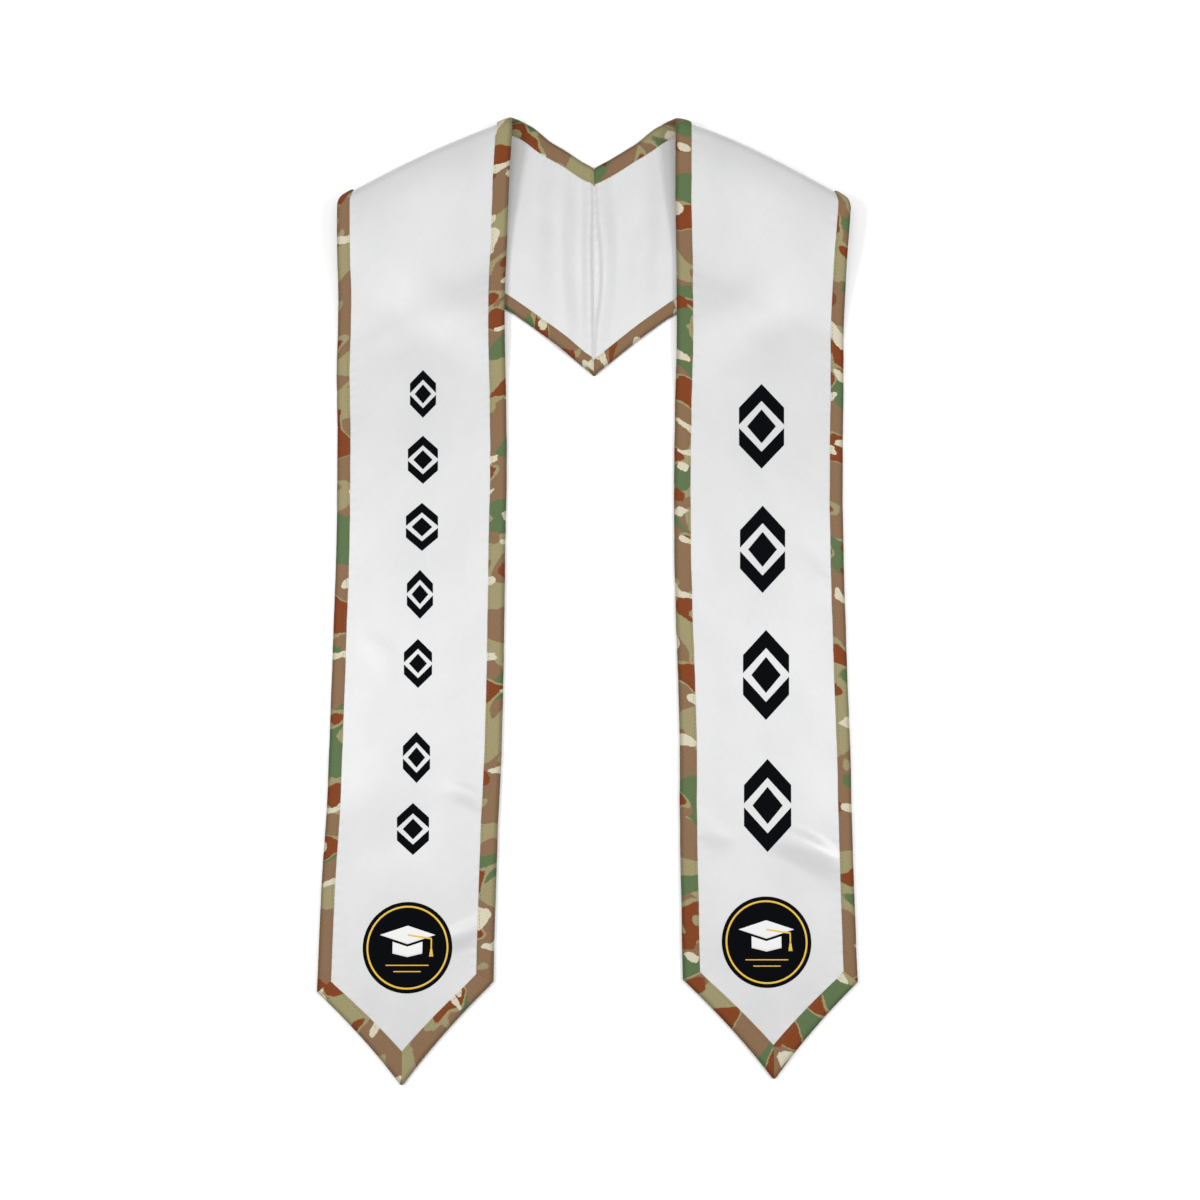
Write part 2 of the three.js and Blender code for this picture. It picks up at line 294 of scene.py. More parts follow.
viewBack = Vector((0.0, -math.cos(photoView["elevation"]), math.sin(photoView["elevation"])))
viewUp = Vector((0.0, math.sin(photoView["elevation"]), math.cos(photoView["elevation"])))
viewPlace = photoView["aim"] + viewBack * photoView["distance"]


# The point of the table, in the frame, that a pixel of the photograph shows.
def tablePoint(pixel, height=0.0):
    ray = Vector(((pixel[0] - photoView["middle"]) / photoView["focal"], 0.0, 0.0)) - viewBack
    ray -= viewUp * ((pixel[1] - photoView["middle"]) / photoView["focal"])
    point = viewPlace + ray * ((height - viewPlace.z) / ray.z)
    return Vector((point.x, point.y))


# Height of a bowed crease, steeper on one side, that dies away at both ends.
def creaseRise(crease, flat):
    start, end, above, below, height, bow = crease
    run = end - start
    long = run.length
    forward = run / long
    square = Vector((-forward.y, forward.x))
    if square.y < 0:
        square = -square
    share = (flat - start).dot(forward) / long
    middle = share - 0.5
    off = (flat - start).dot(square) - bow * (1 - 4 * middle * middle)
    return height * softRise(off, above if off > 0 else below) * softRise(middle, 0.85)


# The neck edge stands up a little just before it turns over the shoulder.
def neckHump(share, beforeFold):
    rise = softRise(beforeFold - cloth["humpPlace"], cloth["humpReach"])
    return cloth["neckHump"] * rise * math.exp(-(share * width / 0.013) ** 2)


# The back seam: a narrow dip between two soft rises, with small ripples beside it.
backSeam = {
    "dip": 0.0012,
    "rise": 0.00055,
    "riseReach": 0.006,
    "ripple": 0.00016,
    "rippleReach": 0.005,
    "rippleLength": 0.0105,
    "rippleSway": 0.003,
}


def backPoint(side, share, along):
    start = Vector((cloth["seamGap"] / 2, mix(seamTop, seamFoot, share)))
    end = foldPoint(share, -rollTravel)
    flat = start.lerp(end, along)
    flat += foldAcross * (foldBulge(side, share) * along * along)
    hang = cloth["seamDrop"] * max(share, 0) ** 1.5 * (1 - flat.x / cloth["dropTurn"])
    flat.y -= hang * math.exp(-(flat.x / cloth["dropReach"]) ** 2)
    flat.y += neckHump(share, end.x - flat.x)
    height = lying
    calm = 0.35 + 0.65 * softRise(share - 0.5, 0.62)
    for out, inner, outer, rise, sway in side["backRidges"]:
        swing = sway * math.sin(math.pi * clamp(share * 1.25 - 0.12, 0, 1)) ** 2
        off = flat.x - out - swing - 0.0014 * wander(flat.y, 0.035, side["seed"] + out * 900)
        height += calm * rise * softRise(off, inner if off < 0 else outer)
    seamDip = math.exp(-(flat.x / backSeam["dip"]) ** 2)
    height += backSeam["rise"] * (math.exp(-(flat.x / backSeam["riseReach"]) ** 2) - seamDip)
    swayed = flat.y + backSeam["rippleSway"] * wander(flat.y, 0.02, side["seed"])
    ripple = math.sin(2 * math.pi * swayed / backSeam["rippleLength"])
    near = math.exp(-(flat.x / backSeam["rippleReach"]) ** 2)
    height += backSeam["ripple"] * ripple * near * (1 - seamDip)
    waves = slowWaves(side, flat) * softStep(flat.x / 0.02) * (1 - softStep((along - 0.6) / 0.4))
    return Vector((flat.x, flat.y, height + waves * 0.9))


def rollPoint(side, share, along):
    turn = along * math.pi
    flat = foldPoint(share, rollTravel * (2 * along - 1))
    flat += foldAcross * (cloth["rollPlan"] * math.sin(turn) + foldBulge(side, share))
    swell = (cloth["rollRadius"] - cloth["rollPlan"]) * math.sin(turn)
    flat += foldAcross * swell
    edge = math.exp(-(share * width / 0.009) ** 2) - math.exp(-((1 - share) * width / 0.009) ** 2)
    flat += foldAlong * (cloth["edgePull"] * edge * math.sin(turn) ** 2)
    flat.y += neckHump(share, 0.0) * (1 - softStep(along / 0.75))
    return Vector((flat.x, flat.y, lying + cloth["rollRadius"] * (1 - math.cos(turn))))


def frontHeight(flat):
    belowFold = max(-(flat - foldBase).dot(foldAcross), 0)
    aboveEdge = (flat - lowerStart).dot(lowerUp)
    onBack = softStep((aboveEdge + cloth["stepMargin"] + cloth["stepRun"]) / cloth["stepRun"])
    rest = (2 * halfStack + cloth["layerGap"]) * onBack
    return lying + mix(rest, 2 * cloth["rollRadius"], softRise(belowFold, cloth["fallLength"]))


def frontRelief(side, share, along, flat):
    height = 0.0
    for placeAlong, placeAcross, reach, rise in side["swells"]:
        farX = (share - placeAcross) * width
        farY = (along - placeAlong) * cloth["frontLength"]
        height += rise * cloth["swellHeight"] * softRise(math.hypot(farX, farY), reach * width)
    settle = softStep(along * cloth["frontLength"] / cloth["settleRun"])
    height += slowWaves(side, flat) * settle
    for crease in side["creases"]:
        height += creaseRise(crease, flat)
    return height


def frontPlan(side, share, along):
    length = cloth["frontLength"] * side["frontShare"]
    startY = foldPoint(share, rollTravel).y
    middle = foldPoint(0.5, rollTravel)
    endY = middle.y - length - side["cornerSkew"] * width * (share - 0.5)
    drift = readCourse(side["course"], 1, along) * width
    rowWidth = readCourse(side["course"], 2, along) / side["course"][0][2] * cloth["flare"] * width
    x = middle.x + drift + (share - 0.5) * rowWidth
    y = mix(startY, endY, along)
    seed = side["seed"]
    fade = softStep(along * 12)
    neckSway = 0.0004 * wander(y, 0.05, seed + 1) + 0.0002 * wander(y, 0.019, seed + 2)
    outerSway = 0.0004 * wander(y, 0.05, seed + 3) + 0.0002 * wander(y, 0.019, seed + 4)
    return Vector((x + fade * mix(neckSway, outerSway, share), y))


def frontPoint(side, share, along):
    flat = frontPlan(side, share, along)
    height = frontHeight(flat) + frontRelief(side, share, along, flat)
    fade = 1 - softStep(along * cloth["frontLength"] * side["frontShare"] / cloth["bulgeReach"])
    flat += foldAcross * (foldBulge(side, share) * fade)
    return Vector((flat.x, flat.y, height))


# Distance along the strip from the centre back seam, at the middle of its width.
def runLength(side, station):
    back = backLength * clamp(station, 0, 1)
    roll = math.pi * cloth["rollRadius"] * clamp(station - 1, 0, 1)
    front = cloth["frontLength"] * side["frontShare"] * clamp(station - 2, 0, 1)
    return back + roll + front


# The middle of the cloth's thickness. The station runs 0 to 1 on the back, to 2 round the
# shoulder roll and to 3 down the front.
def middlePoint(side, share, station):
    if station <= 1:
        point = backPoint(side, share, station)
    elif station <= 2:
        point = rollPoint(side, share, station - 1)
    else:
        point = frontPoint(side, share, station - 2)
    run = runLength(side, station)
    fromNeck = share * width - tape["neckWidth"]
    fromOuter = (1 - share) * width - tape["outerWidth"]
    point.z += pucker(fromNeck, run, side["seed"] + 20) + pucker(fromOuter, run, side["seed"] + 30)
    return point


nudge = 0.002


def runTangent(side, share, station):
    ahead = middlePoint(side, share, min(station + nudge, 3))
    return (ahead - middlePoint(side, share, max(station - nudge, 0))).normalized()


def rowTangent(side, share, station):
    ahead = middlePoint(side, share + nudge, station)
    return (ahead - middlePoint(side, share - nudge, station)).normalized()


def clothNormal(side, share, station):
    return rowTangent(side, share, station).cross(runTangent(side, share, station)).normalized()


# How much a slanted row is longer than the distance square to its edge, as a share per metre.
def rowStretch(side, station, edge):
    edgeShare = 0 if edge == "neck" else 1
    row = rowTangent(side, edgeShare, station)
    run = runTangent(side, edgeShare, station)
    rowLength = (middlePoint(side, 1, station) - middlePoint(side, 0, station)).length
    return 1 / (row.cross(run).length * rowLength)


def insetShare(side, station, edge, inset):
    share = inset * rowStretch(side, station, edge)
    return share if edge == "neck" else 1 - share


# The pointed end: its outline runs from the two side corners to the tip.
def cornerPlan(side, share, tip, turn):
    run = runTangent(side, share, 3).to_2d().normalized()
    point = middlePoint(side, share, 3).to_2d()
    tipRun = (tip - point).normalized()
    return {
        "point": point,
        "sideRun": run,
        "tipRun": tipRun,
        "sideInward": Vector((-run.y, run.x)) * turn,
        "tipInward": Vector((-tipRun.y, tipRun.x)) * turn,
    }


def tipPlan(side):
    middle = (middlePoint(side, 0, 3).to_2d() + middlePoint(side, 1, 3).to_2d()) / 2
    tip = middle + Vector((side["tipDrift"] * width, -cloth["tipLength"]))
    return {
        "middle": middle,
        "tip": tip,
        "neck": cornerPlan(side, 0, tip, 1),
        "outer": cornerPlan(side, 1, tip, -1),
    }


def mitrePoint(corner, first, second, firstInset, secondInset):
    spread = first.x * second.y - first.y * second.x
    x = (firstInset * second.y - first.y * secondInset) / spread
    y = (first.x * secondInset - firstInset * second.x) / spread
    return corner + Vector((x, y))


# A point of the pointed end, drawn in a little towards the tip, on a gently waving surface.
def tipPoint(side, flat, height):
    plan = side["tip"]
    share = clamp((plan["middle"].y - flat.y) / (plan["middle"].y - plan["tip"].y), 0, 1)
    centre = mix(plan["middle"].x, plan["tip"].x, share)
    narrowing = 1 - 8 * cloth["tipHollow"] * share / width
    x = centre + (flat.x - centre) * narrowing
    y = flat.y
    blunt = cloth["bluntTip"]
    bluntStart = plan["tip"].y + blunt
    if y < bluntStart:
        y = bluntStart - 0.55 * blunt * (1 - math.exp((y - bluntStart) / (0.5 * blunt)))
    fromNeck = (flat - plan["neck"]["point"]).dot(plan["neck"]["tipInward"])
    fromOuter = (flat - plan["outer"]["point"]).dot(plan["outer"]["tipInward"])
    calm = 1 - 0.55 * softStep(share)
    rise = slowWaves(side, Vector((x, flat.y))) * calm
    rise += pucker(fromNeck - tape["tipWidth"], flat.y * 1.4, side["seed"] + 40)
    rise += pucker(fromOuter - tape["tipWidth"], flat.y * 1.4, side["seed"] + 50)
    return Vector((x, y, lying + rise + height))


# Where the seam and the fold base stand in the frame, from the CAD's own boxes.
seamX = (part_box("left_outer_binding")[1].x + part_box("right_outer_binding")[0].x) / 2
for side in sides:
    side["creases"] = []
leftCorner = middlePoint(leftSide, 0, 3)
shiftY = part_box("left_neck_binding")[0].y - leftCorner.y - 0.00015


def toFrame(side, point):
    return Vector((seamX + side["direction"] * point.x, point.y + shiftY, point.z))


def toLocal(side, flat):
    return Vector(((flat.x - seamX) * side["direction"], flat.y - shiftY))


for side in sides:
    for start, end, *form in creases[side["name"]]:
        side["creases"].append((toLocal(side, tablePoint(start)), toLocal(side, tablePoint(end)), *form))
    side["tip"] = tipPlan(side)


def placeOn(side, share, station, height):
    normal = clothNormal(side, share, station)
    return toFrame(side, middlePoint(side, share, station) + normal * height)


def placeOnTip(side, flat, height):
    return toFrame(side, tipPoint(side, flat, height))


# Materials
def newMaterial(name):
    material = bpy.data.materials.new(name)
    material.use_nodes = True
    tree = material.node_tree
    return material, tree, tree.nodes["Principled BSDF"]


def addNode(tree, kind, inputs=None, **settings):
    node = tree.nodes.new(kind)
    for name, value in settings.items():
        setattr(node, name, value)
    for name, value in (inputs or {}).items():
        if isinstance(value, bpy.types.NodeSocket):
            tree.links.new(value, node.inputs[name])
        else:
            node.inputs[name].default_value = value
    return node


def uvPoint(tree, scale, shift=(0.0, 0.0, 0.0)):
    uv = addNode(tree, "ShaderNodeUVMap", uv_map="Flat").outputs["UV"]
    placed = addNode(tree, "ShaderNodeMapping", {"Vector": uv, "Scale": scale, "Location": shift})
    return placed.outputs["Vector"]


def mathNode(tree, operation, first, second):
    return addNode(tree, "ShaderNodeMath", {0: first, 1: second}, operation=operation).outputs[0]


def vectorNode(tree, operation, first, second):
    inputs = {0: first, 3 if operation == "SCALE" else 1: second}
    return addNode(tree, "ShaderNodeVectorMath", inputs, operation=operation).outputs[0]


waveRepeat = 0.314  # a wave texture repeats after this many units


# Rows of threads at a pitch, running along or across the cloth.
def threadRows(tree, direction, pitch):
    return addNode(
        tree, "ShaderNodeTexWave",
        {
            "Vector": uvPoint(tree, (waveRepeat / pitch, waveRepeat / pitch, 1.0)),
            "Scale": 1.0,
            "Distortion": 1.6,
            "Detail": 1.0,
            "Detail Scale": 0.35,
        },
        bands_direction=direction,
    ).outputs["Fac"]


# Threads as a fine bump: the long ones run along the strip, the fainter ones across it.
def weaveBump(tree, pitch, crossPitch, crossShare, strength, depth):
    long = threadRows(tree, "X", pitch)
    cross = mathNode(tree, "MULTIPLY", threadRows(tree, "Y", crossPitch), crossShare)
    height = mathNode(tree, "ADD", long, cross)
    return addNode(tree, "ShaderNodeBump", {"Height": height, "Strength": strength, "Distance": depth})


satin = {
    "dark": (0.528, 0.533, 0.529, 1),
    "light": (0.600, 0.604, 0.599, 1),
    "cloudShare": 0.62,
    "speckShare": 0.38,
    # painted light: brightening of the back half
    "backPaintedLight": 1.11,
    "roughness": 0.26,
    "roughnessSpread": 0.18,
    "specular": 0.85,
    "anisotropy": 0.55,
    "sheen": 0.12,
    "threadPitch": 0.00042,
    "crossPitch": 0.0009,
}


# A cloudy, finely specked white. The back half is painted a little lighter than the front: painted light
# that makes up for the shade it gets between the raised front panels.
def makeSatin():
    material, tree, shader = newMaterial("white_satin")
    cloud = addNode(
        tree, "ShaderNodeTexNoise",
        {"Vector": uvPoint(tree, (22.0, 15.0, 1.0)), "Scale": 1.0, "Detail": 3.0, "Roughness": 0.55},
    )
    speck = addNode(
        tree, "ShaderNodeTexNoise",
        {"Vector": uvPoint(tree, (1500.0, 170.0, 1.0), (9.0, 2.0, 0.0)), "Scale": 1.0, "Detail": 2.0},
    )
    cloudTone = mathNode(tree, "MULTIPLY", cloud.outputs["Fac"], satin["cloudShare"])
    speckTone = mathNode(tree, "MULTIPLY", speck.outputs["Fac"], satin["speckShare"])
    shade = addNode(tree, "ShaderNodeValToRGB", {"Fac": mathNode(tree, "ADD", cloudTone, speckTone)})
    dark, light = shade.color_ramp.elements
    dark.position, dark.color = 0.3, satin["dark"]
    light.position, light.color = 0.7, satin["light"]
    place = addNode(tree, "ShaderNodeSeparateXYZ", {"Vector": uvPoint(tree, (1.0, 1.0, 1.0))})
    # Painted light: the back half of the strip is brightened, up to the shoulder roll.
    paintedLightOnBack = addNode(
        tree, "ShaderNodeMapRange",
        {
            "Value": place.outputs["Y"],
            "From Min": backLength - 0.004,
            "From Max": backLength + 0.014,
            "To Min": satin["backPaintedLight"],
            "To Max": 1.0,
        },
    )
    satinWithPaintedLight = vectorNode(tree, "SCALE", shade.outputs["Color"], paintedLightOnBack.outputs["Result"])
    tree.links.new(satinWithPaintedLight, shader.inputs["Base Color"])
    spread = mathNode(tree, "MULTIPLY", speck.outputs["Fac"], satin["roughnessSpread"])
    tree.links.new(mathNode(tree, "ADD", satin["roughness"], spread), shader.inputs["Roughness"])
    shader.inputs["Specular IOR Level"].default_value = satin["specular"]
    shader.inputs["Anisotropic"].default_value = satin["anisotropy"]
    shader.inputs["Sheen Weight"].default_value = satin["sheen"]
    shader.inputs["Sheen Roughness"].default_value = 0.4
    tangent = addNode(tree, "ShaderNodeTangent", direction_type="UV_MAP", uv_map="Flat")
    tree.links.new(tangent.outputs["Tangent"], shader.inputs["Tangent"])
    bump = weaveBump(tree, satin["threadPitch"], satin["crossPitch"], 0.35, 0.14, 0.00006)
    tree.links.new(bump.outputs["Normal"], shader.inputs["Normal"])
    return material


tapePrint = {
    "brown": (0.225, 0.133, 0.070, 1),
    "khaki": (0.300, 0.265, 0.135, 1),
    "green": (0.098, 0.150, 0.062, 1),
    "rust": (0.195, 0.046, 0.009, 1),
    "cream": (0.600, 0.555, 0.420, 1),
    "sway": (0.016, 0.013, 0.0),
    "fray": (0.0019, 0.0019, 0.0),
    # darkest tone of the painted shade on the tape's bend and roll
    "bendShadeTone": 0.66,
    "roughness": 0.66,
    "specular": 0.14,
    "sheen": 0.04,
    "threadPitch": 0.00062,
}


# Painted shade: the print is darkened along the turned rim and over the shoulder roll, where the bend
# turns away from the light. The "rim" attribute is one on the bend.
def paintedBendShade(tree):
    rim = addNode(tree, "ShaderNodeAttribute", attribute_name="rim")
    spread = addNode(
        tree, "ShaderNodeMapRange",
        {"Value": rim.outputs["Fac"], "To Min": 1.0, "To Max": tapePrint["bendShadeTone"]},
    )
    return spread.outputs["Result"]


# Moves a point by noise, so that the edges of a pattern wander.
def pushPoint(tree, point, source, scale, reach):
    cloud = addNode(tree, "ShaderNodeTexNoise", {"Vector": source, "Scale": scale, "Detail": 1.0})
    centred = vectorNode(tree, "SUBTRACT", cloud.outputs["Color"], (0.5, 0.5, 0.5))
    return vectorNode(tree, "ADD", point, vectorNode(tree, "MULTIPLY", centred, reach))


# A printed blob pattern in five colours, drawn from warped noise on the tape's own length.
def makeTape():
    material, tree, shader = newMaterial("patterned_tape")
    plain = uvPoint(tree, (1.0, 1.0, 1.0))
    swept = pushPoint(tree, plain, plain, 48.0, tapePrint["sway"])
    bent = pushPoint(tree, swept, plain, 520.0, tapePrint["fray"])

    def blobs(scale, shift, low, high):
        placed = addNode(tree, "ShaderNodeMapping", {"Vector": bent, "Scale": scale, "Location": shift})
        point = placed.outputs[0]
        cloud = addNode(tree, "ShaderNodeTexNoise", {"Vector": point, "Scale": 1.0, "Detail": 0.0})
        edge = addNode(
            tree, "ShaderNodeMapRange",
            {"Value": cloud.outputs["Fac"], "From Min": low, "From Max": high},
        )
        return edge.outputs["Result"]

    def drops(scale, shift, size, rarity):
        placed = addNode(tree, "ShaderNodeMapping", {"Vector": bent, "Scale": scale, "Location": shift})
        cells = addNode(
            tree, "ShaderNodeTexVoronoi",
            {"Vector": placed.outputs[0], "Scale": 1.0, "Randomness": 1.0}, voronoi_dimensions="2D",
        )
        inside = addNode(
            tree, "ShaderNodeMapRange",
            {"Value": cells.outputs["Distance"], "From Min": size + 0.03, "From Max": size},
        )
        chance = addNode(tree, "ShaderNodeSeparateColor", {"Color": cells.outputs["Color"]})
        chosen = mathNode(tree, "GREATER_THAN", chance.outputs["Red"], rarity)
        return mathNode(tree, "MULTIPLY", inside.outputs["Result"], chosen)

    def paint(under, ink, mask):
        inputs = {"Factor": mask, "A": under, "B": tapePrint[ink]}
        return addNode(tree, "ShaderNodeMix", inputs, data_type="RGBA").outputs["Result"]

    colour = paint(tapePrint["brown"], "khaki", blobs((19.0, 26.0, 1.0), (0.0, 0.0, 0.0), 0.572, 0.578))
    colour = paint(colour, "green", blobs((14.0, 22.0, 1.0), (11.0, 4.0, 2.0), 0.622, 0.628))
    colour = paint(colour, "brown", blobs((30.0, 44.0, 1.0), (5.0, 19.0, 4.0), 0.67, 0.677))
    colour = paint(colour, "khaki", blobs((23.0, 36.0, 1.0), (21.0, 8.0, 6.0), 0.612, 0.619))
    colour = paint(colour, "rust", blobs((23.0, 36.0, 1.0), (21.0, 8.0, 6.0), 0.638, 0.645))
    colour = paint(colour, "rust", drops((44.0, 62.0, 1.0), (2.0, 31.0, 0.0), 0.36, 0.9))
    colour = paint(colour, "khaki", drops((70.0, 56.0, 1.0), (14.0, 3.0, 0.0), 0.22, 0.9))
    colour = paint(colour, "cream", blobs((34.0, 50.0, 1.0), (33.0, 2.0, 9.0), 0.72, 0.727))
    colour = paint(colour, "cream", drops((56.0, 82.0, 1.0), (7.0, 12.0, 0.0), 0.34, 0.94))

    grain = addNode(
        tree, "ShaderNodeTexNoise",
        {"Vector": uvPoint(tree, (1300.0, 900.0, 1.0)), "Scale": 1.0, "Detail": 2.0},
    )
    shade = addNode(
        tree, "ShaderNodeMapRange",
        {"Value": grain.outputs["Fac"], "From Min": 0.3, "From Max": 0.7, "To Min": 0.87, "To Max": 1.11},
    )
    # Grain tone times the painted shade on the bend.
    grainAndBendShade = mathNode(tree, "MULTIPLY", shade.outputs["Result"], paintedBendShade(tree))
    tree.links.new(vectorNode(tree, "SCALE", colour, grainAndBendShade), shader.inputs["Base Color"])
    shader.inputs["Roughness"].default_value = tapePrint["roughness"]
    shader.inputs["Specular IOR Level"].default_value = tapePrint["specular"]
    shader.inputs["Sheen Weight"].default_value = tapePrint["sheen"]
    bump = weaveBump(tree, tapePrint["threadPitch"], tapePrint["threadPitch"], 1.0, 0.45, 0.0001)
    tree.links.new(bump.outputs["Normal"], shader.inputs["Normal"])
    return material


def makePrint(name, colour, roughness, gloss=0.3):
    material, tree, shader = newMaterial(name)
    shader.inputs["Base Color"].default_value = colour
    shader.inputs["Roughness"].default_value = roughness
    shader.inputs["Specular IOR Level"].default_value = gloss
    point = addNode(tree, "ShaderNodeTexCoord").outputs["Object"]
    fine = addNode(tree, "ShaderNodeTexNoise", {"Vector": point, "Scale": 900.0, "Detail": 2.0})
    bump = addNode(
        tree, "ShaderNodeBump", {"Height": fine.outputs["Fac"], "Strength": 0.15, "Distance": 0.00015},
    )
    tree.links.new(bump.outputs["Normal"], shader.inputs["Normal"])
    return material


satinLook = makeSatin()
tapeLook = makeTape()
blackLook = makePrint("black_print", (0.0025, 0.003, 0.004, 1), 0.75, 0.02)
whiteLook = makePrint("white_print", (0.74, 0.74, 0.73, 1), 0.5)
goldLook = makePrint("gold_print", (0.72, 0.46, 0.045, 1), 0.42)
threadLook = makePrint("tape_thread", (0.19, 0.13, 0.085, 1), 0.7)
print("materials made")


# Meshes
def finishMesh(name, bm, material, bendShades=None):
    mesh = bpy.data.meshes.new(name)
    bm.to_mesh(mesh)
    bm.free()
    for polygon in mesh.polygons:
        polygon.use_smooth = True
    mesh.materials.append(material)
    # The "rim" attribute carries the painted shade on the tapes' bends.
    if bendShades:
        bendShadeLayer = mesh.attributes.new("rim", "FLOAT", "POINT")
        for index, value in enumerate(bendShades):
            bendShadeLayer.data[index].value = value
    piece = bpy.data.objects.new(name, mesh)
    bpy.context.scene.collection.objects.link(piece)
    return piece


# A flat grid whose vertices are moved onto rows of points, with a map of real distances.
def gridPiece(name, rows, marks, material, bendShades=None):
    columnCount, rowCount = len(rows[0]), len(rows)
    bm = bmesh.new()
    bmesh.ops.create_grid(bm, x_segments=columnCount - 1, y_segments=rowCount - 1, size=1)
    bm.verts.ensure_lookup_table()
    layer = bm.loops.layers.uv.new("Flat")
    for index, vertex in enumerate(bm.verts):
        vertex.co = rows[index // columnCount][index % columnCount]
    for face in bm.faces:
        for loop in face.loops:
            place = loop.vert.index
            loop[layer].uv = marks[place // columnCount][place % columnCount]
    return finishMesh(name, bm, material, bendShades)


def thicken(piece, thickness, offset=0.0):
    wall = piece.modifiers.new("wall", "SOLIDIFY")
    wall.thickness = thickness
    wall.offset = offset
    wall.use_even_offset = False


def roundRims(piece, size, segments=2):
    rim = piece.modifiers.new("rim", "BEVEL")
    rim.width = size
    rim.segments = segments
    rim.limit_method = "ANGLE"
    rim.angle_limit = math.radians(50)


# Rows and columns of the strip's grid. The rows of the back stand closer near its seam.
stripGrid = {
    "back": 104,
    "seamCrowd": 1.35,
    "roll": 24,
    "front": 326,
    "tip": 38,
    "across": 68,
    "endCut": 0.0008,
}
backRows, rollRows, frontRows = stripGrid["back"], stripGrid["roll"], stripGrid["front"]
stations = [(step / backRows) ** stripGrid["seamCrowd"] for step in range(backRows)]
stations += [1 + step / rollRows for step in range(rollRows)]
stations += [2 + step / frontRows for step in range(frontRows)]


def makeStrip(side):
    plan = side["tip"]
    neck, outer = plan["neck"], plan["outer"]
    rim = halfStack
    columns = stripGrid["across"]
    neckStart = mitrePoint(neck["point"], neck["sideInward"], neck["tipInward"], rim, rim)
    outerStart = mitrePoint(outer["point"], outer["sideInward"], outer["tipInward"], rim, rim)
    apex = mitrePoint(plan["tip"], neck["tipInward"], outer["tipInward"], rim, rim)
    neckEnd = apex + (neckStart - apex).normalized() * stripGrid["endCut"]
    outerEnd = apex + (outerStart - apex).normalized() * stripGrid["endCut"]
    rows, marks = [], []
    for station in stations:
        first = insetShare(side, station, "neck", rim)
        last = insetShare(side, station, "outer", rim)
        shares = [mix(first, last, column / columns) for column in range(columns + 1)]
        rows.append([toFrame(side, middlePoint(side, share, station)) for share in shares])
        run = runLength(side, station)
        marks.append([(share * width, run) for share in shares])
    end = runLength(side, 3)
    middle = plan["middle"]
    for row in range(stripGrid["tip"] + 1):
        along = row / stripGrid["tip"]
        first, last = neckStart.lerp(neckEnd, along), outerStart.lerp(outerEnd, along)
        flats = [first.lerp(last, column / columns) for column in range(columns + 1)]
        rows.append([placeOnTip(side, flat, 0.0) for flat in flats])
        marks.append([(flat.x - middle.x + width / 2, end + middle.y - flat.y) for flat in flats])
    piece = gridPiece(side["name"] + "_satin_strip", rows, marks, satinLook)
    thicken(piece, 2 * cloth["half"])
    return piece


# Rises of the tape's flank: first by distance from its sewn edge, then by share of its width.
sewnRises = [(0.0, -0.00015), (0.0004, -0.00002), (0.0009, 0.00004), (0.0014, -0.00007), (0.0019, 0.00005)]
flankRises = [(0.72, 0.00012), (0.5, 0.00014), (0.28, 0.00006)]


# The folded tape in section, as inset from the edge and height from the middle of the cloth.
def tapeProfile(tapeWidth):
    middle = halfStack - tape["wall"] / 2
    leg = [(tapeWidth - back, middle + rise) for back, rise in sewnRises]
    leg += [(tapeWidth * share, middle + rise) for share, rise in flankRises]
    bend = []
    for step in range(tape["bendSteps"] + 1):
        turn = math.pi * step / tape["bendSteps"]
        bend.append((halfStack - middle * math.sin(turn), middle * math.cos(turn)))
    under = [(inset, -height) for inset, height in reversed(leg)]
    return leg + bend + under


# Mask of painted shade: one on the bend of the tape, falling to nothing a short way in, with a part of it
# on the roll.
def bendShadePlaces(profile, turns):
    fades = [math.exp(-(max(inset - halfStack, 0.0) / 0.0013) ** 2) for inset, height in profile]
    return [max(fade, 0.75 * turn) for turn in turns for fade in fades]


# How far round the shoulder roll a station is, from nothing to one and back.
def rollTurn(station):
    return math.sin(math.pi * clamp(station - 1, 0, 1)) ** 2


# Sewn tape is never quite flat. The flanks ripple outwards a little, and the bend and edge don't.
def rippled(side, inset, height, tapeWidth, run):
    flank = softStep((inset - halfStack) / 0.002) * softStep((tapeWidth - inset) / 0.002)
    face = 7 if height > 0 else 13
    swing = wander(run, tape["rippleLength"], side["seed"] + face + inset * 260)
    rise = tape["ripple"] * (1 + swing) * flank
    return height + math.copysign(rise, height)


def profileRun(profile):
    run, places = 0.0, [0.0]
    for before, after in zip(profile, profile[1:]):
        run += math.hypot(after[0] - before[0], after[1] - before[1])
        places.append(run)
    return places


